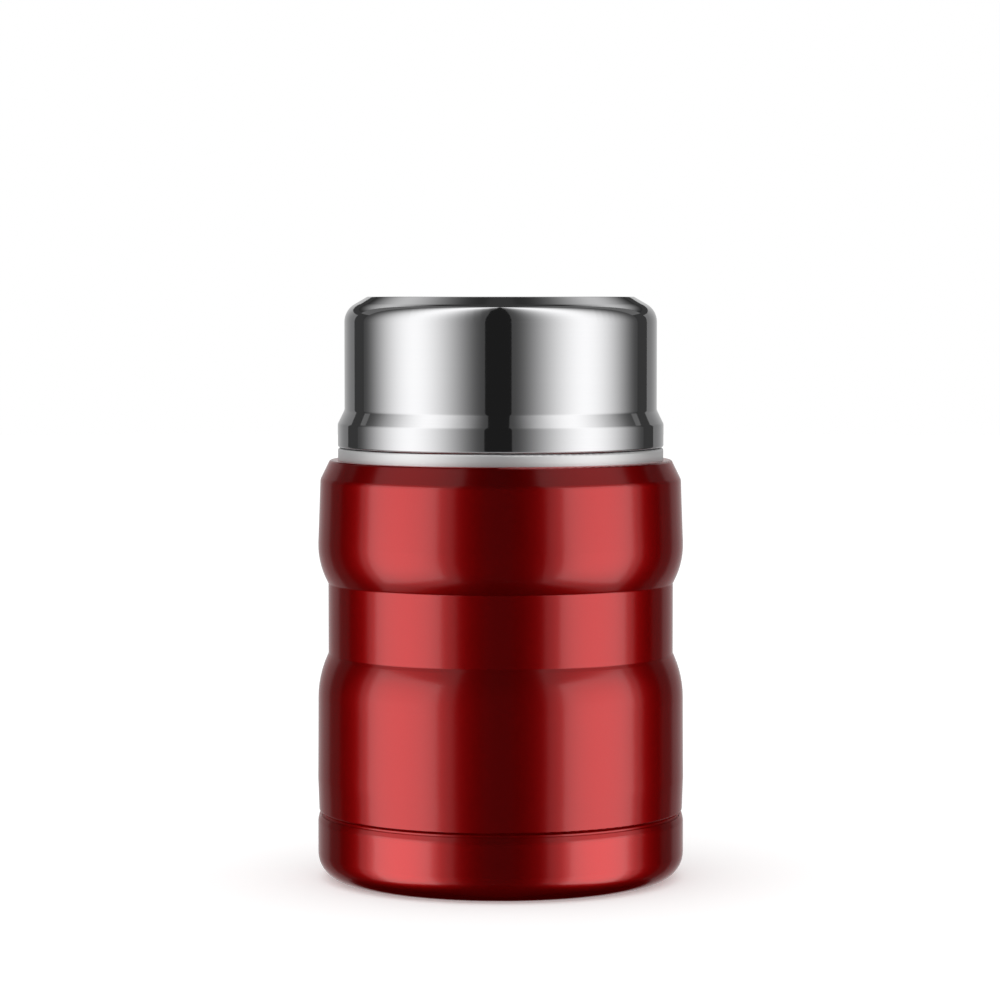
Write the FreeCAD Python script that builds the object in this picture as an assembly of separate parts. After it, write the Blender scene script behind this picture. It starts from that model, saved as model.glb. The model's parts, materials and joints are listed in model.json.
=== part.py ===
import FreeCAD, Part
import math
import os

# Insulated food jar, in millimetres. It stands on the XY plane, +Z up, with its axis on Z.
# A double-walled vacuum vessel is closed by a screw stopper, and a double-walled serving cup
# screws on over the stopper. Right-hand threads of one lead: turning left raises them.

# Body outline, from the table up: radii of the outside, and lengths of its stretches.
BODY_RADIUS = 47.0
WAIST_DEPTH = 2.75
BASE_CUP_HEIGHT = 16.5
GROOVE_WIDTH = 0.9
LOWER_BODY_LENGTH = 40.5
LOWER_DRAFT = 0.15
FOOT_DRAFT = 0.3
FOOT_DRAFT_LENGTH = 8.5
WAIST_LENGTH = 18.0
UPPER_BODY_LENGTH = 26.6
UPPER_DRAFT = 0.77
LOWER_BULGE_RUN = 5.9
UPPER_BULGE_RUN = 5.2
BULGE_CURVE_SHARE = 0.85
CHAMFER_HEIGHT = 5.0
SHOULDER_LEDGE = 2.1

# Sheet thicknesses of the pressed steel, and of the moulded plastic.
SHELL_WALL = 0.6
LINER_WALL = 0.5
END_PLATE_WALL = 0.6
CUP_WALL = 0.6
BOWL_WALL = 0.5
COLLAR_WALL = 0.8
FOIL_THICKNESS = 0.15
MOULDED_WALL = 1.8

# Gaps: a welded or pressed seam, a piece that turns or slides, and a seat that it comes down on.
SEAM_GAP = 0.05
TURNING_GAP = 0.2
SEAT_GAP = 0.1
RIM_GAP = 0.3

# Roundings of moulded plastic and silicone edges, and of bends in sheet, from small to large.
SOFT_EDGE = 0.2
MOULDED_EDGE = 0.3
MOULDED_FILLET = 0.5
KNOB_ROUNDING = 1.6
PLUG_ROUNDING = 1.5
TIGHT_BEND = 0.5
SHEET_BEND = 0.8
WIDE_BEND = 1.5
DRAWN_BEND = 3.5
CHAMFER_BEND = 2.5
FOOT_DRAFT_BEND = 12.0

# Threads: ribs on the neck, the mouth, the stopper and the bowl, all with one lead.
THREAD_LEAD = 16.0
THREAD_STARTS = 4
RIB_SWEEP = 55.0
RIB_DEPTH = 1.2
RIB_ROOT_HEIGHT = 1.9
RIB_CREST_HEIGHT = 0.9
RIB_ROOT_SINK = 0.25
RIB_RADIAL_GAP = 0.3
RIB_OFFSET = 1.5

# Neck, mouth and liner.
NECK_STEP_IN = 9.0
NECK_HEIGHT = 12.0
NECK_WALL_GAP = 1.0
COLLAR_HEIGHT = 3.0
COLLAR_INSET = 0.05
MOUTH_RIB_DROP = 5.3
SEAT_DEPTH = 11.8
SEAT_WIDTH = 2.8
SEAT_LAND = 5.2
LINER_NECK_IN = 7.5
VACUUM_GAP = 2.6
FLOOR_GAP = 3.2
LINER_CORNER = 12.0
FOIL_LENGTH = 62.0

# Base.
BASE_CORNER = 6.6
BASE_ROLL_IN = 0.35
BASE_ROLL_HEIGHT = 1.4
JOGGLE_RISE = 0.5
FOOT_RING_INSET = 14.0
FOOT_RECESS = 1.6
SPIGOT_LIFT = 0.5
END_PLATE_DISH = 1.8
EVAC_WELL_RADIUS = 12.0
EVAC_WELL_DEPTH = 1.7
EVAC_HOLE_RADIUS = 1.0
EVAC_SEAL_RADIUS = 3.0
EVAC_SEAL_HEIGHT = 1.2
GETTER_OFFSET = 22.0
GETTER_RADIUS = 4.0
GETTER_HEIGHT = 1.6
GETTER_STRAP_WIDTH = 3.0
GETTER_STRAP_THICKNESS = 0.3
GETTER_FOOT_LENGTH = 2.5

# Serving cup, upside down on the jar.
CUP_HEIGHT = 38.4
CUP_SKIRT_HEIGHT = 5.9
CUP_FLARE_HEIGHT = 3.6
CUP_FLARE = 1.75
CUP_AIR_GAP = 1.15
CUP_BEVEL_WIDTH = 5.9
CUP_BEVEL_DROP = 3.43
CUP_CORNER = 5.2
CUP_FOOT_WIDTH = 2.7
CUP_FOOT_DEPTH = 0.8
CUP_CEILING_GAP = 0.8
BOWL_CORNER = 6.0
BOWL_SKIRT_TAPER = 1.8
CUP_GASKET_HEIGHT = 1.4
CUP_GASKET_WIDTH = 2.1
CUP_GASKET_OVERHANG = 0.4

# Stopper.
PLUG_DEPTH = 6.6
PLUG_FLANGE_HEIGHT = 1.4
PLUG_FLANGE_WIDTH = 0.6
SEAL_GROOVE_DEPTH = 1.3
STOPPER_GASKET_HEIGHT = 2.0
STOPPER_GASKET_NOTCH = 0.7
KNOB_INSET = 0.4
KNOB_HEIGHT = 12.0
KNOB_LIFT = 0.4
KNOB_PLATE = 2.0
KNOB_WALL = 2.2
KNOB_DISH_DEPTH = 0.8
KNOB_DISH_RIM = 5.0
FLUTE_COUNT = 28
FLUTE_RADIUS = 1.6
FLUTE_DEPTH = 0.7
FOAM_GAP = 0.2

# Pressure-release vent in the middle of the stopper.
BUTTON_RADIUS = 8.2
BUTTON_GAP = 0.3
BUTTON_RISE = 1.0
BUTTON_PLATE = 2.0
BUTTON_SKIRT_WALL = 1.2
BUTTON_SKIRT_LENGTH = 2.6
BUTTON_BOSS_RADIUS = 3.0
BUTTON_BOSS_LENGTH = 3.4
WELL_DEPTH = 7.4
WELL_WALL = 1.5
WELL_FLOOR = 1.6
STEM_RADIUS = 1.5
STEM_AIR_GAP = 0.5
VENT_BORE_RADIUS = 2.8
VENT_SEAL_RADIUS = 5.4
VENT_SEAL_THICKNESS = 1.3
POPPET_RADIUS = 4.9
POPPET_HEIGHT = 2.6
POPPET_CAP = 1.0
SPRING_WIRE_RADIUS = 0.35
SPRING_TURNS = 4
SPRING_BOSS_GAP = 1.85

# Heights of the stations that pieces share, from the table up.
SHELL_FOOT_Z = BASE_CUP_HEIGHT + GROOVE_WIDTH
WAIST_BOTTOM_Z = SHELL_FOOT_Z + LOWER_BODY_LENGTH
WAIST_TOP_Z = WAIST_BOTTOM_Z + WAIST_LENGTH
CHAMFER_Z = WAIST_TOP_Z + UPPER_BODY_LENGTH
SHOULDER_Z = CHAMFER_Z + CHAMFER_HEIGHT
LIP_Z = SHOULDER_Z + NECK_HEIGHT
COLLAR_TOP_Z = SHOULDER_Z + COLLAR_HEIGHT
RIM_Z = COLLAR_TOP_Z + RIM_GAP
CUP_TOP_Z = RIM_Z + CUP_HEIGHT
SEAT_Z = LIP_Z - SEAT_DEPTH
SPIGOT_FOOT_Z = BASE_CORNER + SPIGOT_LIFT
END_PLATE_Z = SPIGOT_FOOT_Z + END_PLATE_DISH
FLOOR_Z = END_PLATE_Z + FLOOR_GAP + LINER_WALL

# Radii that follow from the body's, the threads' and the walls'.
WAIST_RADIUS = BODY_RADIUS - WAIST_DEPTH
NECK_RADIUS = BODY_RADIUS - NECK_STEP_IN
FOOT_INNER_RADIUS = BODY_RADIUS - FOOT_RING_INSET
SPIGOT_RADIUS = BODY_RADIUS - BASE_ROLL_IN - SHELL_WALL - SEAM_GAP
LINER_RADIUS = WAIST_RADIUS - SHELL_WALL - VACUUM_GAP - LINER_WALL
MOUTH_RADIUS = NECK_RADIUS - SHELL_WALL - NECK_WALL_GAP - LINER_WALL
SEAT_HOLE_RADIUS = MOUTH_RADIUS - SEAT_WIDTH
SKIRT_BORE_RADIUS = NECK_RADIUS + RIB_DEPTH + RIB_RADIAL_GAP
RIM_RADIUS = SKIRT_BORE_RADIUS + BOWL_WALL + CUP_AIR_GAP + CUP_WALL
CUP_RADIUS = RIM_RADIUS - CUP_FLARE
BOWL_RADIUS = CUP_RADIUS - CUP_WALL - CUP_AIR_GAP - BOWL_WALL
COLLAR_RADIUS = RIM_RADIUS - COLLAR_INSET
SHOULDER_RADIUS = COLLAR_RADIUS + SHOULDER_LEDGE
CUP_GASKET_RADIUS = NECK_RADIUS + CUP_GASKET_OVERHANG
GASKET_POCKET_RADIUS = CUP_GASKET_RADIUS + TURNING_GAP
BARREL_RADIUS = MOUTH_RADIUS - RIB_RADIAL_GAP - RIB_DEPTH
KNOB_RADIUS = MOUTH_RADIUS - KNOB_INSET
PLUG_FLANGE_RADIUS = SEAT_HOLE_RADIUS - RIB_RADIAL_GAP
PLUG_RADIUS = PLUG_FLANGE_RADIUS - PLUG_FLANGE_WIDTH
SEAL_GROOVE_RADIUS = PLUG_FLANGE_RADIUS - SEAL_GROOVE_DEPTH
WELL_RADIUS = BUTTON_RADIUS + BUTTON_GAP

# Heights within the stopper and the cup.
RIB_RISE = THREAD_LEAD * RIB_SWEEP / 360.0
BOWL_RIB_Z = RIM_Z + TURNING_GAP + RIB_ROOT_HEIGHT / 2
NECK_RIB_Z = BOWL_RIB_Z + RIB_OFFSET
BOWL_STEP_Z = NECK_RIB_Z + RIB_RISE + RIB_ROOT_HEIGHT / 2 + TURNING_GAP
CUP_GASKET_Z = LIP_Z + SEAT_GAP
BOWL_LEDGE_Z = CUP_GASKET_Z + CUP_GASKET_HEIGHT + TURNING_GAP
BOWL_TOP_Z = CUP_TOP_Z - CUP_FOOT_DEPTH - CUP_WALL - CUP_CEILING_GAP - BOWL_WALL
MOUTH_RIB_Z = LIP_Z - MOUTH_RIB_DROP
STOPPER_RIB_Z = MOUTH_RIB_Z - RIB_OFFSET
STOPPER_GASKET_Z = SEAT_Z + SEAT_GAP
PLUG_FLANGE_TOP_Z = STOPPER_GASKET_Z - TURNING_GAP
BARREL_FOOT_Z = STOPPER_GASKET_Z + STOPPER_GASKET_HEIGHT + TURNING_GAP
PLUG_FOOT_Z = SEAT_Z - PLUG_DEPTH
KNOB_FOOT_Z = LIP_Z + KNOB_LIFT
KNOB_TOP_Z = KNOB_FOOT_Z + KNOB_HEIGHT
WELL_FLOOR_Z = KNOB_TOP_Z - WELL_DEPTH
WELL_UNDER_Z = WELL_FLOOR_Z - WELL_FLOOR
BUTTON_TOP_Z = KNOB_TOP_Z + BUTTON_RISE
BUTTON_UNDER_Z = BUTTON_TOP_Z - BUTTON_PLATE
VENT_SEAL_Z = PLUG_FOOT_Z - SEAT_GAP - VENT_SEAL_THICKNESS
POPPET_Z = VENT_SEAL_Z - POPPET_HEIGHT

Z_AXIS = FreeCAD.Vector(0, 0, 1)
ORIGIN = FreeCAD.Vector(0, 0, 0)


def point(radius, height):
    """A point of the half section that is turned about Z."""
    return FreeCAD.Vector(radius, 0, height)


def rounded_edges(corners, closed=False):
    """Edges through (radius, height) corners, or (radius, height, rounding) to round one off."""
    places = [point(corner[0], corner[1]) for corner in corners]
    count = len(corners)
    starts, ends, middles = [], [], []
    for i, here in enumerate(places):
        rounding = corners[i][2] if len(corners[i]) > 2 else 0.0
        at_end = not closed and i in (0, count - 1)
        if at_end or rounding <= 0:
            starts.append(here)
            ends.append(here)
            middles.append(None)
            continue
        back = (places[i - 1] - here).normalize()
        ahead = (places[(i + 1) % count] - here).normalize()
        half = back.getAngle(ahead) / 2
        reach = rounding / math.tan(half)
        depth = rounding / math.sin(half) - rounding
        starts.append(here + back * reach)
        ends.append(here + ahead * reach)
        middles.append(here + (back + ahead).normalize() * depth)
    edges = []
    for i in range(count):
        if middles[i] is not None:
            edges.append(Part.Arc(starts[i], middles[i], ends[i]).toShape())
        if closed or i < count - 1:
            following = starts[(i + 1) % count]
            if not following.isEqual(ends[i], 1e-6):
                edges.append(Part.LineSegment(ends[i], following).toShape())
    return edges


def offset_corners(corners, distance):
    """The corners moved sideways by distance, to the left of the way they run."""
    sides = []
    for here, following in zip(corners, corners[1:]):
        run = (point(*following[:2]) - point(*here[:2])).normalize()
        sides.append(FreeCAD.Vector(-run.z, 0, run.x))
    moved = []
    for i, corner in enumerate(corners):
        before = sides[max(i - 1, 0)]
        after = sides[min(i, len(sides) - 1)]
        shift = (before + after) * (distance / (1 + before.dot(after)))
        turns_left = before.x * after.z - before.z * after.x > 0
        growth = -distance if turns_left else distance
        rounding = corner[2] + growth if len(corner) > 2 else 0.0
        moved.append((corner[0] + shift.x, corner[1] + shift.z, max(rounding, 0.0)))
    return moved


def turn(edges):
    """The solid that a closed half section makes when it is turned about Z."""
    face = Part.Face(Part.Wire(Part.__sortEdges__(edges)))
    return face.revolve(ORIGIN, Z_AXIS, 360)


def pressed_sheet(corners, wall):
    """Sheet metal of even thickness along corners. A positive wall lies to the left of the path."""
    other = offset_corners(corners, wall)
    edges = rounded_edges(corners) + rounded_edges(other)
    for near, far in ((corners[0], other[0]), (corners[-1], other[-1])):
        edges.append(Part.LineSegment(point(*near[:2]), point(*far[:2])).toShape())
    return turn(edges)


def turned(corners):
    """A turned or moulded solid from its closed half section."""
    return turn(rounded_edges(corners, closed=True))


def thread_ribs(wall_radius, outward, first_height):
    """Evenly spaced right-hand ribs on a round wall, as separate helical solids rooted in it."""
    way = 1 if outward else -1
    root = wall_radius - way * RIB_ROOT_SINK
    crest = wall_radius + way * RIB_DEPTH
    section = [
        point(root, -RIB_ROOT_HEIGHT / 2),
        point(wall_radius, -RIB_ROOT_HEIGHT / 2),
        point(crest, -RIB_CREST_HEIGHT / 2),
        point(crest, RIB_CREST_HEIGHT / 2),
        point(wall_radius, RIB_ROOT_HEIGHT / 2),
        point(root, RIB_ROOT_HEIGHT / 2),
    ]
    profile = Part.makePolygon(section + [section[0]])
    spine = Part.Wire(Part.makeHelix(THREAD_LEAD, RIB_RISE, wall_radius))
    rib = spine.makePipeShell([profile], True, True)
    rib.translate(point(0, first_height))
    ribs = []
    for start in range(THREAD_STARTS):
        copy = rib.copy()
        copy.rotate(ORIGIN, Z_AXIS, start * 360.0 / THREAD_STARTS)
        ribs.append(copy)
    return ribs


def bulge_corner(radius, waist_z, run):
    """Corner of the long curve from a body's side to the edge of the waist, run away from it."""
    drop = radius - WAIST_RADIUS
    half = math.atan2(drop, abs(run)) / 2
    rounding = BULGE_CURVE_SHARE * math.hypot(drop, run) / math.tan(half)
    return (radius, waist_z + run, rounding)


def outer_shell():
    """Lacquered outside of the vessel, from the spigot in the base cup to the end of the neck."""
    corners = [
        (SPIGOT_RADIUS, SPIGOT_FOOT_Z),
        (SPIGOT_RADIUS, SHELL_FOOT_Z - JOGGLE_RISE / 2, TIGHT_BEND),
        (BODY_RADIUS - FOOT_DRAFT, SHELL_FOOT_Z + JOGGLE_RISE / 2, TIGHT_BEND),
        (BODY_RADIUS, SHELL_FOOT_Z + FOOT_DRAFT_LENGTH, FOOT_DRAFT_BEND),
        bulge_corner(BODY_RADIUS - LOWER_DRAFT, WAIST_BOTTOM_Z, -LOWER_BULGE_RUN),
        (WAIST_RADIUS, WAIST_BOTTOM_Z, SHEET_BEND),
        (WAIST_RADIUS, WAIST_TOP_Z, SHEET_BEND),
        bulge_corner(BODY_RADIUS, WAIST_TOP_Z, UPPER_BULGE_RUN),
        (BODY_RADIUS - UPPER_DRAFT, CHAMFER_Z, CHAMFER_BEND),
        (SHOULDER_RADIUS, SHOULDER_Z, SHEET_BEND),
        (NECK_RADIUS, SHOULDER_Z, SHEET_BEND),
        (NECK_RADIUS, LIP_Z - LINER_WALL - SEAM_GAP),
    ]
    shell = pressed_sheet(corners, SHELL_WALL)
    return shell.multiFuse(thread_ribs(NECK_RADIUS, True, NECK_RIB_Z))


def base_cup():
    """Lacquered cup over the shell's spigot: rolled-in edge, foot ring and raised middle."""
    corners = [
        (BODY_RADIUS - BASE_ROLL_IN, BASE_CUP_HEIGHT),
        (BODY_RADIUS, BASE_CUP_HEIGHT - BASE_ROLL_HEIGHT, DRAWN_BEND),
        (BODY_RADIUS, 0.0, BASE_CORNER),
        (FOOT_INNER_RADIUS, 0.0, WIDE_BEND),
        (FOOT_INNER_RADIUS - FOOT_RECESS, FOOT_RECESS, WIDE_BEND),
        (0.0, FOOT_RECESS),
    ]
    return pressed_sheet(corners, -SHELL_WALL)


def end_plate():
    """Dished plate that closes the vacuum space, with the hole the air is drawn out through."""
    rim_radius = SPIGOT_RADIUS - SHELL_WALL - SEAM_GAP
    well_z = END_PLATE_Z - EVAC_WELL_DEPTH
    corners = [
        (rim_radius, SPIGOT_FOOT_Z),
        (rim_radius, END_PLATE_Z, SHEET_BEND),
        (EVAC_WELL_RADIUS, END_PLATE_Z, WIDE_BEND),
        (EVAC_WELL_RADIUS - EVAC_WELL_DEPTH, well_z, WIDE_BEND),
        (EVAC_HOLE_RADIUS, well_z),
    ]
    return pressed_sheet(corners, END_PLATE_WALL)


def evac_seal():
    """Bead of solder glass over the hole in the end plate, with a plug up into it."""
    under_z = END_PLATE_Z - EVAC_WELL_DEPTH - END_PLATE_WALL
    plug = EVAC_HOLE_RADIUS - SEAM_GAP
    corners = [
        (0.0, under_z - EVAC_SEAL_HEIGHT),
        (EVAC_SEAL_RADIUS, under_z - EVAC_SEAL_HEIGHT, SHEET_BEND),
        (EVAC_SEAL_RADIUS, under_z),
        (plug, under_z),
        (plug, under_z + END_PLATE_WALL),
        (0.0, under_z + END_PLATE_WALL),
    ]
    return turned(corners)


def getter_pellet():
    """Pressed tablet that takes up gas in the vacuum space, on the end plate."""
    place = FreeCAD.Vector(GETTER_OFFSET, 0, END_PLATE_Z)
    return Part.makeCylinder(GETTER_RADIUS, GETTER_HEIGHT, place)


def getter_clip():
    """Steel strap over the tablet, with a foot at each end on the end plate."""
    inner = GETTER_RADIUS + SEAM_GAP
    outer = inner + GETTER_STRAP_THICKNESS
    under = GETTER_HEIGHT + SEAM_GAP
    top = under + GETTER_STRAP_THICKNESS
    foot = outer + GETTER_FOOT_LENGTH
    right_half = [
        (inner, under),
        (inner, 0),
        (foot, 0),
        (foot, GETTER_STRAP_THICKNESS),
        (outer, GETTER_STRAP_THICKNESS),
        (outer, top),
    ]
    outline = right_half + [(-y, z) for y, z in reversed(right_half)]
    side = GETTER_OFFSET - GETTER_STRAP_WIDTH / 2
    corners = [FreeCAD.Vector(side, y, END_PLATE_Z + z) for y, z in outline]
    face = Part.Face(Part.makePolygon(corners + [corners[0]]))
    return face.extrude(FreeCAD.Vector(GETTER_STRAP_WIDTH, 0, 0))


def inner_liner():
    """Food vessel: rounded floor, straight wall, seat ledge, threaded mouth and turned-out lip."""
    neck_in_top = SEAT_Z - SEAT_LAND
    corners = [
        (0.0, FLOOR_Z),
        (LINER_RADIUS, FLOOR_Z, LINER_CORNER),
        (LINER_RADIUS, neck_in_top - LINER_NECK_IN, DRAWN_BEND),
        (SEAT_HOLE_RADIUS, neck_in_top, DRAWN_BEND),
        (SEAT_HOLE_RADIUS, SEAT_Z, SHEET_BEND),
        (MOUTH_RADIUS, SEAT_Z, TIGHT_BEND),
        (MOUTH_RADIUS, LIP_Z, SHEET_BEND),
        (NECK_RADIUS, LIP_Z),
    ]
    liner = pressed_sheet(corners, -LINER_WALL)
    return liner.multiFuse(thread_ribs(MOUTH_RADIUS, False, MOUTH_RIB_Z))


def liner_foil():
    """Reflective foil wrapped round the straight wall of the liner."""
    inside = LINER_RADIUS + LINER_WALL + SEAM_GAP
    bottom = point(0, FLOOR_Z + LINER_CORNER)
    sleeve = Part.makeCylinder(inside + FOIL_THICKNESS, FOIL_LENGTH, bottom)
    return sleeve.cut(Part.makeCylinder(inside, FOIL_LENGTH, bottom))


def neck_collar():
    """Bright steel collar on the shoulder, which the rim of the cup comes down to."""
    corners = [
        (COLLAR_RADIUS, SHOULDER_Z),
        (COLLAR_RADIUS, COLLAR_TOP_Z, TIGHT_BEND),
        (NECK_RADIUS + SEAM_GAP, COLLAR_TOP_Z),
    ]
    return pressed_sheet(corners, COLLAR_WALL)


def cup_outer():
    """Polished outside of the cup: turned-in rim, skirt, flare, wall, bevel and foot."""
    skirt_top = RIM_Z + CUP_SKIRT_HEIGHT
    bevel_radius = CUP_RADIUS - CUP_BEVEL_WIDTH
    foot_radius = bevel_radius - CUP_FOOT_WIDTH
    foot_z = CUP_TOP_Z - CUP_FOOT_DEPTH
    corners = [
        (SKIRT_BORE_RADIUS + BOWL_WALL + SEAM_GAP, RIM_Z),
        (RIM_RADIUS, RIM_Z, TIGHT_BEND),
        (RIM_RADIUS, skirt_top, WIDE_BEND),
        (CUP_RADIUS, skirt_top + CUP_FLARE_HEIGHT, WIDE_BEND),
        (CUP_RADIUS, CUP_TOP_Z - CUP_BEVEL_DROP, CUP_CORNER),
        (bevel_radius, CUP_TOP_Z, SHEET_BEND),
        (foot_radius, CUP_TOP_Z, SHEET_BEND),
        (foot_radius - CUP_FOOT_DEPTH, foot_z, SHEET_BEND),
        (0.0, foot_z),
    ]
    return pressed_sheet(corners, CUP_WALL)


def cup_inner():
    """Bowl of the cup: threaded skirt, pocket for the gasket, straight wall and rounded bottom."""
    corners = [
        (SKIRT_BORE_RADIUS, RIM_Z),
        (SKIRT_BORE_RADIUS, BOWL_STEP_Z, SHEET_BEND),
        (GASKET_POCKET_RADIUS, BOWL_STEP_Z + BOWL_SKIRT_TAPER, SHEET_BEND),
        (GASKET_POCKET_RADIUS, BOWL_LEDGE_Z, SOFT_EDGE),
        (BOWL_RADIUS, BOWL_LEDGE_Z, TIGHT_BEND),
        (BOWL_RADIUS, BOWL_TOP_Z, BOWL_CORNER),
        (0.0, BOWL_TOP_Z),
    ]
    bowl = pressed_sheet(corners, -BOWL_WALL)
    return bowl.multiFuse(thread_ribs(SKIRT_BORE_RADIUS, False, BOWL_RIB_Z))


def cup_gasket():
    """Flat silicone ring held in the bowl's pocket, which bears on the lip of the mouth."""
    inner = CUP_GASKET_RADIUS - CUP_GASKET_WIDTH
    top = CUP_GASKET_Z + CUP_GASKET_HEIGHT
    corners = [
        (inner, CUP_GASKET_Z, SOFT_EDGE),
        (CUP_GASKET_RADIUS, CUP_GASKET_Z, SOFT_EDGE),
        (CUP_GASKET_RADIUS, top, SOFT_EDGE),
        (inner, top, SOFT_EDGE),
    ]
    return turned(corners)


def stopper_gasket():
    """Silicone seal with two lips in the stopper's groove, which bears on the liner's ledge."""
    inner = SEAL_GROOVE_RADIUS + TURNING_GAP
    outer = BARREL_RADIUS
    top = STOPPER_GASKET_Z + STOPPER_GASKET_HEIGHT
    middle = STOPPER_GASKET_Z + STOPPER_GASKET_HEIGHT / 2
    lip = STOPPER_GASKET_HEIGHT / 2 - STOPPER_GASKET_NOTCH / 2
    corners = [
        (inner, STOPPER_GASKET_Z, SOFT_EDGE),
        (outer, STOPPER_GASKET_Z, SOFT_EDGE),
        (outer, STOPPER_GASKET_Z + lip),
        (outer - STOPPER_GASKET_NOTCH, middle),
        (outer, top - lip),
        (outer, top, SOFT_EDGE),
        (inner, top, SOFT_EDGE),
    ]
    return turned(corners)


def stopper_shell():
    """Plug of the stopper: floor, seal groove, threaded barrel and the vent's tube."""
    barrel_bore = BARREL_RADIUS - MOULDED_WALL
    plug_bore = SEAL_GROOVE_RADIUS - MOULDED_WALL
    step_z = BARREL_FOOT_Z + MOULDED_WALL
    floor_z = PLUG_FOOT_Z + MOULDED_WALL
    flange_foot = PLUG_FLANGE_TOP_Z - PLUG_FLANGE_HEIGHT
    tube = VENT_BORE_RADIUS + MOULDED_WALL
    corners = [
        (VENT_BORE_RADIUS, PLUG_FOOT_Z, MOULDED_EDGE),
        (PLUG_RADIUS, PLUG_FOOT_Z, PLUG_ROUNDING),
        (PLUG_RADIUS, flange_foot - PLUG_FLANGE_WIDTH),
        (PLUG_FLANGE_RADIUS, flange_foot),
        (PLUG_FLANGE_RADIUS, PLUG_FLANGE_TOP_Z, MOULDED_EDGE),
        (SEAL_GROOVE_RADIUS, PLUG_FLANGE_TOP_Z),
        (SEAL_GROOVE_RADIUS, BARREL_FOOT_Z),
        (BARREL_RADIUS, BARREL_FOOT_Z, MOULDED_EDGE),
        (BARREL_RADIUS, KNOB_FOOT_Z),
        (barrel_bore, KNOB_FOOT_Z),
        (barrel_bore, step_z, MOULDED_FILLET),
        (plug_bore, step_z, MOULDED_FILLET),
        (plug_bore, floor_z, MOULDED_FILLET),
        (tube, floor_z, MOULDED_FILLET),
        (tube, WELL_UNDER_Z),
        (VENT_BORE_RADIUS, WELL_UNDER_Z),
    ]
    shell = turned(corners)
    return shell.multiFuse(thread_ribs(BARREL_RADIUS, True, STOPPER_RIB_Z))


def stopper_knob():
    """Fluted cap of the stopper, with a dished top and the well that the button stands in."""
    bore = KNOB_RADIUS - KNOB_WALL
    under_z = KNOB_TOP_Z - KNOB_PLATE
    dish_z = KNOB_TOP_Z - KNOB_DISH_DEPTH
    dish_outer = KNOB_RADIUS - KNOB_DISH_RIM
    well_outside = WELL_RADIUS + WELL_WALL
    dish_inner = well_outside + KNOB_DISH_DEPTH
    guide = STEM_RADIUS + STEM_AIR_GAP
    corners = [
        (guide, WELL_UNDER_Z, SOFT_EDGE),
        (well_outside, WELL_UNDER_Z, MOULDED_EDGE),
        (well_outside, under_z, MOULDED_EDGE),
        (bore, under_z, MOULDED_FILLET),
        (bore, KNOB_FOOT_Z),
        (KNOB_RADIUS, KNOB_FOOT_Z, MOULDED_EDGE),
        (KNOB_RADIUS, KNOB_TOP_Z, KNOB_ROUNDING),
        (dish_outer, KNOB_TOP_Z, MOULDED_FILLET),
        (dish_outer - KNOB_DISH_DEPTH, dish_z, MOULDED_FILLET),
        (dish_inner + KNOB_DISH_DEPTH, dish_z, MOULDED_FILLET),
        (dish_inner, KNOB_TOP_Z, MOULDED_FILLET),
        (WELL_RADIUS, KNOB_TOP_Z, MOULDED_EDGE),
        (WELL_RADIUS, WELL_FLOOR_Z, MOULDED_FILLET),
        (guide, WELL_FLOOR_Z, SOFT_EDGE),
    ]
    place = point(KNOB_RADIUS + FLUTE_RADIUS - FLUTE_DEPTH, KNOB_FOOT_Z)
    flutes = []
    for i in range(FLUTE_COUNT):
        flute = Part.makeCylinder(FLUTE_RADIUS, KNOB_HEIGHT, place)
        flute.rotate(ORIGIN, Z_AXIS, i * 360.0 / FLUTE_COUNT)
        flutes.append(flute)
    return turned(corners).cut(flutes)


def stopper_foam():
    """Insulating foam that fills the stopper between its plug and its cap."""
    tube = VENT_BORE_RADIUS + MOULDED_WALL + FOAM_GAP
    plug = SEAL_GROOVE_RADIUS - MOULDED_WALL - FOAM_GAP
    barrel = BARREL_RADIUS - MOULDED_WALL - FOAM_GAP
    floor_z = PLUG_FOOT_Z + MOULDED_WALL
    step_z = BARREL_FOOT_Z + MOULDED_WALL + FOAM_GAP
    top_z = KNOB_TOP_Z - KNOB_PLATE - FOAM_GAP
    well = WELL_RADIUS + WELL_WALL + FOAM_GAP
    well_z = WELL_UNDER_Z - FOAM_GAP
    corners = [
        (tube, floor_z, MOULDED_FILLET),
        (plug, floor_z, MOULDED_FILLET),
        (plug, step_z, MOULDED_EDGE),
        (barrel, step_z, MOULDED_EDGE),
        (barrel, top_z, MOULDED_FILLET),
        (well, top_z, MOULDED_EDGE),
        (well, well_z, MOULDED_EDGE),
        (tube, well_z, MOULDED_EDGE),
    ]
    return turned(corners)


def vent_button():
    """Round push button with a skirt and a socket for the stem."""
    socket = STEM_RADIUS + SEAM_GAP
    skirt_bore = BUTTON_RADIUS - BUTTON_SKIRT_WALL
    skirt_z = BUTTON_UNDER_Z - BUTTON_SKIRT_LENGTH
    boss_z = BUTTON_UNDER_Z - BUTTON_BOSS_LENGTH
    corners = [
        (0.0, BUTTON_TOP_Z),
        (BUTTON_RADIUS, BUTTON_TOP_Z, MOULDED_FILLET),
        (BUTTON_RADIUS, skirt_z, MOULDED_EDGE),
        (skirt_bore, skirt_z, MOULDED_EDGE),
        (skirt_bore, BUTTON_UNDER_Z, MOULDED_FILLET),
        (BUTTON_BOSS_RADIUS, BUTTON_UNDER_Z, MOULDED_FILLET),
        (BUTTON_BOSS_RADIUS, boss_z, MOULDED_EDGE),
        (socket, boss_z),
        (socket, BUTTON_UNDER_Z),
        (0.0, BUTTON_UNDER_Z),
    ]
    return turned(corners)


def vent_stem():
    """Steel pin from the button's socket down to the poppet."""
    bottom = POPPET_Z + POPPET_CAP
    return Part.makeCylinder(STEM_RADIUS, BUTTON_UNDER_Z - bottom, point(0, bottom))


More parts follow.
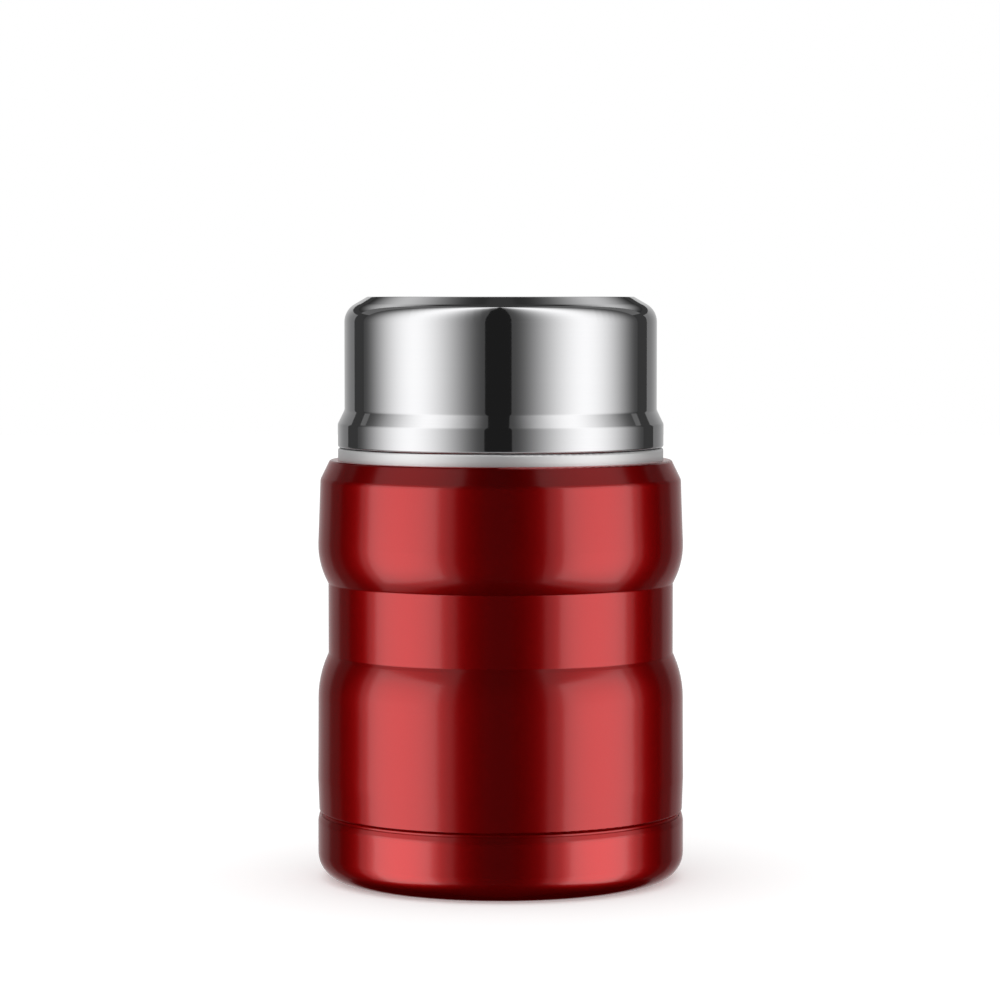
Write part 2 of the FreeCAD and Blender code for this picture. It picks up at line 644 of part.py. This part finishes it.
def vent_seal():
    """Silicone washer that closes the vent's bore from below."""
    hole = STEM_RADIUS + SEAM_GAP
    top = VENT_SEAL_Z + VENT_SEAL_THICKNESS
    corners = [
        (hole, VENT_SEAL_Z),
        (VENT_SEAL_RADIUS, VENT_SEAL_Z, SOFT_EDGE),
        (VENT_SEAL_RADIUS, top, SOFT_EDGE),
        (hole, top),
    ]
    return turned(corners)


def vent_poppet():
    """Cap pressed on the lower end of the stem, which backs the washer."""
    socket = STEM_RADIUS + SEAM_GAP
    corners = [
        (0.0, POPPET_Z),
        (POPPET_RADIUS, POPPET_Z, MOULDED_FILLET),
        (POPPET_RADIUS, VENT_SEAL_Z, MOULDED_EDGE),
        (socket, VENT_SEAL_Z),
        (socket, POPPET_Z + POPPET_CAP),
        (0.0, POPPET_Z + POPPET_CAP),
    ]
    return turned(corners)


def vent_spring():
    """Compression spring between the floor of the well and the button."""
    radius = BUTTON_BOSS_RADIUS + SPRING_BOSS_GAP + SPRING_WIRE_RADIUS
    low = WELL_FLOOR_Z + SPRING_WIRE_RADIUS + SEAM_GAP
    high = BUTTON_UNDER_Z - SPRING_WIRE_RADIUS - SEAM_GAP
    pitch = (high - low) / SPRING_TURNS
    arcs = []
    for i in range(SPRING_TURNS * 4):
        places = []
        for turns in (i / 4, (i + 0.5) / 4, (i + 1) / 4):
            angle = turns * 2 * math.pi
            flat = FreeCAD.Vector(radius * math.cos(angle), radius * math.sin(angle), 0)
            places.append(flat + point(0, low + pitch * turns))
        arcs.append(Part.Arc(*places).toShape())
    wire = Part.Wire(arcs)
    start = arcs[0].tangentAt(arcs[0].FirstParameter)
    section = Part.Wire(Part.makeCircle(SPRING_WIRE_RADIUS, arcs[0].Vertexes[0].Point, start))
    print("vent_spring: least gap between turns", round(pitch - 2 * SPRING_WIRE_RADIUS, 3))
    return wire.makePipeShell([section], True, False)


PIECES = [
    outer_shell,
    base_cup,
    end_plate,
    evac_seal,
    getter_pellet,
    getter_clip,
    inner_liner,
    liner_foil,
    neck_collar,
    stopper_gasket,
    stopper_shell,
    stopper_knob,
    stopper_foam,
    vent_spring,
    vent_button,
    vent_stem,
    vent_seal,
    vent_poppet,
    cup_gasket,
    cup_inner,
    cup_outer,
]


def main():
    """Builds each piece and writes it under its own name."""
    os.makedirs("parts", exist_ok=True)
    for piece in PIECES:
        shape = piece()
        shape.exportStep(os.path.join("parts", piece.__name__ + ".step"))
        print(piece.__name__, shape.isValid(), len(shape.Solids), round(shape.Volume, 1))


main()
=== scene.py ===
import json
import math

import bpy
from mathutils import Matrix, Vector


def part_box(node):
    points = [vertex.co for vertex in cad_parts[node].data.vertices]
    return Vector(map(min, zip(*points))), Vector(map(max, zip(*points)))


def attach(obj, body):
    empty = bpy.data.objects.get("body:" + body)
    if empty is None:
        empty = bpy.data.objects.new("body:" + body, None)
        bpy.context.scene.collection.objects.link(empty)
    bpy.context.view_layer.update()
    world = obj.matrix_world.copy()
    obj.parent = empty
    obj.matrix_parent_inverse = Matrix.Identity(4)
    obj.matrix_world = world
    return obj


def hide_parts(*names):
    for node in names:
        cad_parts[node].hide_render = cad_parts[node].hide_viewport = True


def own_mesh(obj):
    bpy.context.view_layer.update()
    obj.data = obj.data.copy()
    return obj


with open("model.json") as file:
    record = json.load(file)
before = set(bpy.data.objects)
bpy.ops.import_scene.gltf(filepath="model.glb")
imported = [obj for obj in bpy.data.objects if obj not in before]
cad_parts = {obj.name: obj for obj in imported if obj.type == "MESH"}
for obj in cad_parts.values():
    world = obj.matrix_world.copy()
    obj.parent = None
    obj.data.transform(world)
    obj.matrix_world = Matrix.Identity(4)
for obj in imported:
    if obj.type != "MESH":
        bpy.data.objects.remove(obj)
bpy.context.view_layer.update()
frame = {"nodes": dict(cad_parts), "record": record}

# Camera: level with the top of the jar and tipped down a little.
SENSOR_WIDTH = 36.0
PICTURE_WIDTH_PX = 1000
FOCAL_LENGTH_PX = 3620
CAMERA_DISTANCE = 0.92832
CAMERA_SIDE = -0.00017
CAMERA_PITCH = math.radians(3.2147)
CAMERA_NEAR = 0.05
CAMERA_FAR = 20.0

# Studio: a tent of panels and cards round the jar, which shows only as reflections.
# Angles are in degrees round the jar from the camera's side, positive to the camera's right.
TENT_RADIUS = 0.62
TENT_TOP = 0.84
TENT_FOOT = -0.40
TENT_HUB = 0.001
TENT_STEPS = 40
RIGHT_PANEL = (7.6, 117.0)
LEFT_PANEL = (-117.0, -10.9)
FRONT_CARD = (-10.9, 7.6)
RIGHT_CARD = (117.0, 133.0)
LEFT_CARD = (-133.0, -117.0)
BACK_CARD = (133.0, 227.0)
WHOLE_TURN = (0.0, 360.0)
BACK_CARD_TOP = 0.30
SIDE_CARD_TOP = 0.36

# How bright the panels and cards are, where 1 is white. A panel fades from its peak to its edge.
PANEL_PEAK = 1.22
PANEL_EDGE = 0.07
BACK_PEAK = 0.60
BACK_EDGE = 0.20
CARD_BLACK = 0.014
CARD_DARK = 0.045
CARD_DIM = 0.15
CARD_PALE = 0.60

# A dome behind and above the jar, which the cup's top mirrors. Its heights are in degrees.
BACK_GLOW_PEAK = 0.60
BACK_GLOW_EDGE = 0.03
BACK_GLOW_HEIGHTS = (20.0, 63.0)
BACK_GLOW_RADIUS = 0.9 * TENT_RADIUS
BACK_GLOW_ROWS = 24

FLOOR_RADIUS = 3.0
FLOOR_STEPS = 96
FLOOR_GREY = 0.80
FLOOR_LIFT = 0.30

# One soft lamp over the jar, which nothing mirrors.
OVER_LAMP_PLACE = (-0.3, -0.4, 1.2)
OVER_LAMP_AIM = (0.0, 0.0, 0.05)
OVER_LAMP_SIZE = (0.9, 0.9)
OVER_LAMP_LEVEL = 0.5

# Soft lamps on each side, which only the lacquer mirrors. Lamps of several sizes, one over the
# other, give a bright middle that fades to its edges. A row has the angles of the lamp's two
# edges, the heights of its foot and top, its level, and the nodes that it lights.
LACQUERED = ("outer_shell", "base_cup")
SIDE_LAMP_DISTANCE = 0.50
SIDE_LAMPS = (
    (46.0, 80.0, -0.14, 0.09, 1.03, ("outer_shell",)),
    (42.0, 84.0, -0.20, 0.17, 0.93, ("outer_shell",)),
    (38.0, 88.0, -0.28, 0.30, 0.86, ("outer_shell",)),
    (28.0, 96.0, -0.90, 0.86, 0.32, LACQUERED),
    (42.0, 83.0, -2.60, 0.10, 1.00, ("base_cup",)),
    (38.0, 88.0, -1.40, 0.30, 0.35, ("base_cup",)),
)

JAR_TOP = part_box("cup_outer")[1].z


def link(obj):
    bpy.context.scene.collection.objects.link(obj)
    return obj


# Camera

def make_camera():
    data = bpy.data.cameras.new("camera")
    data.sensor_width = SENSOR_WIDTH
    data.lens = SENSOR_WIDTH * FOCAL_LENGTH_PX / PICTURE_WIDTH_PX
    data.clip_start = CAMERA_NEAR
    data.clip_end = CAMERA_FAR
    camera = link(bpy.data.objects.new("camera", data))
    camera.location = (CAMERA_SIDE, -CAMERA_DISTANCE, JAR_TOP)
    camera.rotation_euler = (math.pi / 2 - CAMERA_PITCH, 0.0, 0.0)
    bpy.context.scene.camera = camera


# Node helpers

class Nodes:
    """A material or world node tree, with short ways to add and join nodes."""

    def __init__(self, tree):
        self.tree = tree
        tree.nodes.clear()

    def put(self, value, socket):
        """Gives a socket its value, or the output socket that feeds it."""
        if isinstance(value, bpy.types.NodeSocket):
            self.tree.links.new(value, socket)
        else:
            socket.default_value = value

    def add(self, kind, inputs=None, **settings):
        node = self.tree.nodes.new(kind)
        for name, value in settings.items():
            setattr(node, name, value)
        for name, value in (inputs or {}).items():
            self.put(value, node.inputs[name])
        return node

    def math(self, operation, *values):
        node = self.add("ShaderNodeMath", operation=operation)
        for value, socket in zip(values, node.inputs):
            self.put(value, socket)
        return node.outputs[0]

    def ramp(self, value, low, high):
        """value mapped smoothly from the range low to the range high."""
        inputs = {
            "Value": value,
            "From Min": low[0],
            "From Max": low[1],
            "To Min": high[0],
            "To Max": high[1],
        }
        node = self.add("ShaderNodeMapRange", inputs, interpolation_type="SMOOTHSTEP")
        return node.outputs["Result"]

    def finish(self, shader):
        output = self.add("ShaderNodeOutputMaterial")
        self.put(shader.outputs[0], output.inputs["Surface"])


def new_material(name):
    made = bpy.data.materials.new(name)
    made.use_nodes = True
    return made, Nodes(made.node_tree)


# Stage materials

def glow(name, peak, edge, along):
    """A panel that is brightest along its middle and falls to edge at both sides. along is X or Y."""
    made, nodes = new_material(name)
    uv = nodes.add("ShaderNodeTexCoord").outputs["UV"]
    share = nodes.add("ShaderNodeSeparateXYZ", {"Vector": uv}).outputs[along]
    inward = nodes.math("MINIMUM", share, nodes.math("SUBTRACT", 1.0, share))
    level = nodes.ramp(inward, (0.0, 0.5), (edge, peak))
    nodes.finish(nodes.add("ShaderNodeEmission", {"Strength": level}))
    return made


def card(name, level):
    """A card of one grey."""
    made, nodes = new_material(name)
    nodes.finish(nodes.add("ShaderNodeEmission", {"Color": (level, level, level, 1.0), "Strength": 1.0}))
    return made


def floor_white():
    """Pale floor that keeps the shadow, and is lifted to the background's white where it is lit."""
    made, nodes = new_material("floor_white")
    diffuse = nodes.add("ShaderNodeBsdfDiffuse", {"Color": (FLOOR_GREY, FLOOR_GREY, FLOOR_GREY, 1.0)})
    rays = nodes.add("ShaderNodeLightPath").outputs
    mirrored = nodes.math("MAXIMUM", rays["Is Glossy Ray"], rays["Is Transmission Ray"])
    seen = nodes.math("MAXIMUM", rays["Is Camera Ray"], mirrored)
    lift = nodes.add("ShaderNodeEmission", {"Strength": nodes.math("MULTIPLY", seen, FLOOR_LIFT)})
    both = nodes.add("ShaderNodeAddShader")
    nodes.put(diffuse.outputs[0], both.inputs[0])
    nodes.put(lift.outputs[0], both.inputs[1])
    nodes.finish(both)
    return made


# Stage

def group_of(name, objects):
    """A collection that isn't in the scene, which says what a lamp or panel lights."""
    made = bpy.data.collections.new(name)
    for obj in objects:
        made.objects.link(obj)
    return made


def tent_piece(name, span, outline, material, lit=None):
    """A stretch of the tent: outline, as (radius, height) from foot to top, turned through span.

    The UV map's X runs across it and Y up it. lit is the collection of what it lights."""
    start, end = (math.radians(angle) for angle in span)
    count = len(outline)
    vertices, places, faces = [], [], []
    for i in range(TENT_STEPS + 1):
        angle = start + (end - start) * i / TENT_STEPS
        for j, (radius, height) in enumerate(outline):
            vertices.append((radius * math.sin(angle), -radius * math.cos(angle), height))
            places.append((i / TENT_STEPS, j / (count - 1)))
    for i in range(TENT_STEPS):
        for j in range(count - 1):
            corner = i * count + j
            faces.append((corner, corner + count, corner + count + 1, corner + 1))
    mesh = bpy.data.meshes.new(name)
    mesh.from_pydata(vertices, [], faces)
    uv = mesh.uv_layers.new(name="UVMap")
    for loop in mesh.loops:
        uv.data[loop.index].uv = places[loop.vertex_index]
    mesh.materials.append(material)
    piece = link(bpy.data.objects.new(name, mesh))
    piece.visible_camera = False
    piece.visible_diffuse = False
    piece.visible_shadow = False
    if lit:
        piece.light_linking.receiver_collection = lit


def upright(foot, top=None):
    """Outline of a wall from foot to top, or on over the ceiling to the jar's axis."""
    if top is None:
        return [(TENT_RADIUS, foot), (TENT_RADIUS, TENT_TOP), (TENT_HUB, TENT_TOP)]
    return [(TENT_RADIUS, foot), (TENT_RADIUS, top)]


def dome():
    """Outline of the dome behind the jar, round the middle of the jar's top."""
    low, high = BACK_GLOW_HEIGHTS
    points = []
    for row in range(BACK_GLOW_ROWS + 1):
        height = math.radians(low + (high - low) * row / BACK_GLOW_ROWS)
        rise = BACK_GLOW_RADIUS * math.sin(height)
        points.append((BACK_GLOW_RADIUS * math.cos(height), JAR_TOP + rise))
    return points


def make_tent(spring):
    """The whole tent. Its panels light the bare metals and the plastics, and not the lacquer."""
    metals = group_of("lit_by_tent", [o for n, o in frame["nodes"].items() if n not in LACQUERED])
    metals.objects.link(spring)
    soft = glow("panel_glow", PANEL_PEAK, PANEL_EDGE, "X")
    black = card("card_black", CARD_BLACK)
    dark = card("card_dark", CARD_DARK)
    dim = card("card_dim", CARD_DIM)
    pale = card("card_pale", CARD_PALE)
    wall = upright(TENT_FOOT)
    tent_piece("panel_right", RIGHT_PANEL, wall, soft, metals)
    tent_piece("panel_left", LEFT_PANEL, wall, soft, metals)
    tent_piece("card_front", FRONT_CARD, wall, black)
    for name, span in (("card_right", RIGHT_CARD), ("card_left", LEFT_CARD)):
        tent_piece(name, span, upright(TENT_FOOT, SIDE_CARD_TOP), dark)
        tent_piece(name + "_high", span, upright(SIDE_CARD_TOP), dim)
    grey = glow("card_grey", BACK_PEAK, BACK_EDGE, "X")
    tent_piece("card_back", BACK_CARD, upright(TENT_FOOT, BACK_CARD_TOP), grey)
    tent_piece("card_back_high", BACK_CARD, upright(BACK_CARD_TOP), dark)
    tent_piece("card_below", WHOLE_TURN, [(TENT_RADIUS, TENT_FOOT), (TENT_HUB, TENT_FOOT)], pale, metals)
    sky = glow("back_glow", BACK_GLOW_PEAK, BACK_GLOW_EDGE, "Y")
    tent_piece("back_glow", BACK_CARD, dome(), sky, metals)


def make_floor():
    """A round floor, which the jar doesn't mirror."""
    rim = []
    for step in range(FLOOR_STEPS):
        angle = 2 * math.pi * step / FLOOR_STEPS
        rim.append((FLOOR_RADIUS * math.sin(angle), FLOOR_RADIUS * math.cos(angle), 0.0))
    mesh = bpy.data.meshes.new("floor")
    mesh.from_pydata(rim, [], [tuple(range(FLOOR_STEPS))])
    mesh.materials.append(floor_white())
    floor = link(bpy.data.objects.new("floor", mesh))
    floor.visible_glossy = False
    floor.visible_shadow = False


def make_world():
    world = bpy.data.worlds.new("white")
    bpy.context.scene.world = world
    world.use_nodes = True
    nodes = Nodes(world.node_tree)
    background = nodes.add("ShaderNodeBackground", {"Color": (1.0, 1.0, 1.0, 1.0), "Strength": 1.0})
    output = nodes.add("ShaderNodeOutputWorld")
    nodes.put(background.outputs[0], output.inputs["Surface"])
    world.cycles.sampling_method = "NONE"


def make_lamp(name, place, aim, size, level, lit=None):
    """A soft lamp of (width, height). level is its brightness as it is seen, where 1 is white."""
    data = bpy.data.lights.new(name, "AREA")
    data.shape = "RECTANGLE"
    data.size, data.size_y = size
    data.energy = level * math.pi * size[0] * size[1]
    lamp = link(bpy.data.objects.new(name, data))
    lamp.location = place
    lamp.rotation_euler = (Vector(aim) - Vector(place)).to_track_quat("-Z", "Y").to_euler()
    lamp.visible_camera = False
    if lit:
        lamp.light_linking.receiver_collection = lit
    return lamp


def make_side_lamp(name, side, row):
    """One row of SIDE_LAMPS, to the camera's right where side is 1 and to its left where it is -1."""
    near, far, foot, top, level, nodes = row
    angle = math.radians(side * (near + far) / 2)
    half_width = SIDE_LAMP_DISTANCE * math.tan(math.radians(far - near) / 2)
    middle = (foot + top) / 2
    place = (SIDE_LAMP_DISTANCE * math.sin(angle), -SIDE_LAMP_DISTANCE * math.cos(angle), middle)
    lit = group_of(name + "_lights", [frame["nodes"][node] for node in nodes])
    make_lamp(name, place, (0.0, 0.0, middle), (2 * half_width, top - foot), level, lit)


def make_lamps():
    for number, row in enumerate(SIDE_LAMPS, 1):
        make_side_lamp(f"lamp_right_{number}", 1, row)
        make_side_lamp(f"lamp_left_{number}", -1, row)
    over = make_lamp("lamp_over", OVER_LAMP_PLACE, OVER_LAMP_AIM, OVER_LAMP_SIZE, OVER_LAMP_LEVEL)
    over.visible_glossy = False


# Materials of the jar. Scales are in noise cells per metre, and depths of bumps in metres.

NOISE_RANGE = (0.3, 0.7)

LACQUER_DARK = (0.53, 0.002, 0.003)
LACQUER_LIGHT = (0.59, 0.004, 0.005)
LACQUER_ROUGHNESS = (0.38, 0.44)
LACQUER_SHEEN = (1.0, 0.05, 0.05, 1.0)
FLAKE_SCALE = 2600.0
FLAKE_DEPTH = 4e-6
COAT_ROUGHNESS = 0.15
COAT_IOR = 1.65
PEEL_SCALE = 190.0
PEEL_DEPTH = 3e-6

# How far the polishing lines wander on their way round the jar, in noise cells.
RING_WANDER = 0.6
RING_DETAIL = 4.0

METALS = {
    "polished_steel": {
        "dark": (0.77, 0.77, 0.78), "light": (0.80, 0.80, 0.81),
        "roughness": 0.05, "spread": 0.01, "scale": 9000.0, "depth": 2e-7,
    },
    "satin_steel": {
        "dark": (0.94, 0.94, 0.94), "light": (0.98, 0.98, 0.98),
        "roughness": 0.48, "spread": 0.05, "scale": 14000.0, "depth": 2e-6, "metallic": 0.86,
    },
    "liner_steel": {
        "dark": (0.62, 0.62, 0.63), "light": (0.70, 0.70, 0.71),
        "roughness": 0.20, "spread": 0.05, "scale": 9000.0, "depth": 2e-6,
    },
    "plain_steel": {
        "dark": (0.50, 0.50, 0.51), "light": (0.60, 0.60, 0.61),
        "roughness": 0.30, "spread": 0.06, "scale": 6000.0, "depth": 3e-6,
    },
    "foil": {
        "dark": (0.84, 0.84, 0.85), "light": (0.92, 0.92, 0.93),
        "roughness": 0.18, "spread": 0.05, "scale": 900.0, "depth": 3e-5,
    },
    "spring_steel": {
        "dark": (0.55, 0.55, 0.57), "light": (0.66, 0.66, 0.68),
        "roughness": 0.16, "spread": 0.03, "scale": 5000.0, "depth": 1e-6,
    },
}

GRAINED = {
    "getter_metal": {
        "dark": (0.20, 0.20, 0.21), "light": (0.32, 0.32, 0.33),
        "roughness": 0.60, "scale": 5000.0, "depth": 2e-5, "metallic": 0.8,
    },
    "solder_glass": {
        "dark": (0.06, 0.065, 0.075), "light": (0.10, 0.105, 0.115),
        "roughness": 0.12, "scale": 900.0, "depth": 1e-5,
    },
    "stopper_black": {
        "dark": (0.018, 0.018, 0.02), "light": (0.028, 0.028, 0.03),
        "roughness": 0.42, "scale": 3500.0, "depth": 1.2e-5,
    },
    "button_grey": {
        "dark": (0.15, 0.15, 0.16), "light": (0.18, 0.18, 0.19),
        "roughness": 0.30, "scale": 3000.0, "depth": 5e-6,
    },
    "silicone_grey": {
        "dark": (0.58, 0.58, 0.57), "light": (0.64, 0.64, 0.63),
        "roughness": 0.50, "scale": 1500.0, "depth": 8e-6,
    },
}
GRAIN_SPREAD = 0.05

# Foam colours: the crest colour is the foam's white, and the seam colour is painted shade in the sunken
# seams between beads.
FOAM_CREST = (0.88, 0.88, 0.86)
FOAM_SEAM_SHADE = (0.72, 0.72, 0.70)
FOAM_ROUGHNESS = 0.85
FOAM_SCALE = 420.0
FOAM_DEPTH = 4e-4


def object_place(nodes):
    return nodes.add("ShaderNodeTexCoord").outputs["Object"]


def rings(nodes, scale):
    """Fine lines round the axis, as turning and polishing leave: a noise that is long round Z."""
    place = nodes.add("ShaderNodeSeparateXYZ", {"Vector": object_place(nodes)})
    x, y, z = place.outputs["X"], place.outputs["Y"], place.outputs["Z"]
    squares = nodes.math("ADD", nodes.math("MULTIPLY", x, x), nodes.math("MULTIPLY", y, y))
    radius = nodes.math("SQRT", squares)
    angle = nodes.math("ARCTAN2", y, x)
    wrapped = nodes.add("ShaderNodeCombineXYZ", {
        "X": nodes.math("MULTIPLY", nodes.math("COSINE", angle), RING_WANDER),
        "Y": nodes.math("MULTIPLY", nodes.math("SINE", angle), RING_WANDER),
        "Z": nodes.math("MULTIPLY", nodes.math("ADD", z, radius), scale),
    })
    inputs = {"Vector": wrapped.outputs[0], "Scale": 1.0, "Detail": RING_DETAIL}
    return nodes.add("ShaderNodeTexNoise", inputs).outputs["Fac"]


def speckle(nodes, scale, detail=2.0):
    inputs = {"Vector": object_place(nodes), "Scale": scale, "Detail": detail}
    return nodes.add("ShaderNodeTexNoise", inputs).outputs["Fac"]


def bumped(nodes, height, depth):
    return nodes.add("ShaderNodeBump", {"Height": height, "Distance": depth, "Strength": 1.0}).outputs[0]


def tinted(nodes, share, dark, light):
    """A colour that runs from dark to light with share."""
    mix = nodes.add("ShaderNodeMix", {"Factor": share}, data_type="RGBA")
    mix.inputs[6].default_value = (*dark, 1.0)
    mix.inputs[7].default_value = (*light, 1.0)
    return mix.outputs[2]


def around(middle, spread):
    return (middle - spread, middle + spread)


def metal(name, dark, light, roughness, spread, scale, depth, metallic=1.0):
    """Steel or foil with polishing lines round the axis."""
    made, nodes = new_material(name)
    lines = rings(nodes, scale)
    nodes.finish(nodes.add("ShaderNodeBsdfPrincipled", {
        "Base Color": tinted(nodes, lines, dark, light),
        "Metallic": metallic,
        "Roughness": nodes.ramp(lines, NOISE_RANGE, around(roughness, spread)),
        "Normal": bumped(nodes, lines, depth),
    }))
    return made


def grained(name, dark, light, roughness, scale, depth, metallic=0.0):
    """Moulded plastic, silicone, glass or pressed powder with a fine grain."""
    made, nodes = new_material(name)
    grain = speckle(nodes, scale)
    nodes.finish(nodes.add("ShaderNodeBsdfPrincipled", {
        "Base Color": tinted(nodes, grain, dark, light),
        "Metallic": metallic,
        "Roughness": nodes.ramp(grain, NOISE_RANGE, around(roughness, GRAIN_SPREAD)),
        "Normal": bumped(nodes, grain, depth),
    }))
    return made


def lacquer():
    """Metallic red lacquer under a clear coat with a slight orange peel."""
    made, nodes = new_material("lacquer_red")
    flakes = speckle(nodes, FLAKE_SCALE)
    peel = speckle(nodes, PEEL_SCALE, 1.0)
    nodes.finish(nodes.add("ShaderNodeBsdfPrincipled", {
        "Base Color": tinted(nodes, flakes, LACQUER_DARK, LACQUER_LIGHT),
        "Metallic": 1.0,
        "Roughness": nodes.ramp(flakes, NOISE_RANGE, LACQUER_ROUGHNESS),
        "Specular Tint": LACQUER_SHEEN,
        "Normal": bumped(nodes, flakes, FLAKE_DEPTH),
        "Coat Weight": 1.0,
        "Coat Roughness": COAT_ROUGHNESS,
        "Coat IOR": COAT_IOR,
        "Coat Normal": bumped(nodes, peel, PEEL_DEPTH),
    }))
    return made


def foam():
    """Expanded bead foam: cells a couple of millimetres across, with painted shade that darkens the
    sunken seams between them.
    """
    made, nodes = new_material("foam_white")
    inputs = {"Vector": object_place(nodes), "Scale": FOAM_SCALE}
    depth = nodes.add("ShaderNodeTexVoronoi", inputs, feature="SMOOTH_F1").outputs["Distance"]
    nodes.finish(nodes.add("ShaderNodeBsdfPrincipled", {
        # The colour darkens towards each cell's sunken edge: painted shade in the seams.
        "Base Color": tinted(nodes, depth, FOAM_CREST, FOAM_SEAM_SHADE),
        "Roughness": FOAM_ROUGHNESS,
        "Normal": bumped(nodes, nodes.math("MULTIPLY", depth, -1.0), FOAM_DEPTH),
    }))
    return made


def dress():
    """Gives each node the material of the slot that the record names for it."""
    made = {"lacquer_red": lacquer(), "foam_white": foam()}
    for name, look in METALS.items():
        made[name] = metal(name, **look)
    for name, look in GRAINED.items():
        made[name] = grained(name, **look)
    for part in frame["record"]["subparts"]:
        slots = frame["nodes"][part["node"]].data.materials
        slots.clear()
        slots.append(made[part["material_slot"]])


def make_spring():
    """The vent's spring once more, as a piece of its own that rides with the stopper."""
    coil = frame["nodes"]["vent_spring"].data.copy()
    spring = link(bpy.data.objects.new("vent_spring_coil", coil))
    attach(spring, "stopper")
    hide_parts("vent_spring")
    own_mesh(spring)
    return spring


make_camera()
make_world()
dress()
make_tent(make_spring())
make_floor()
make_lamps()

bpy.context.scene.view_settings.view_transform = "Standard"
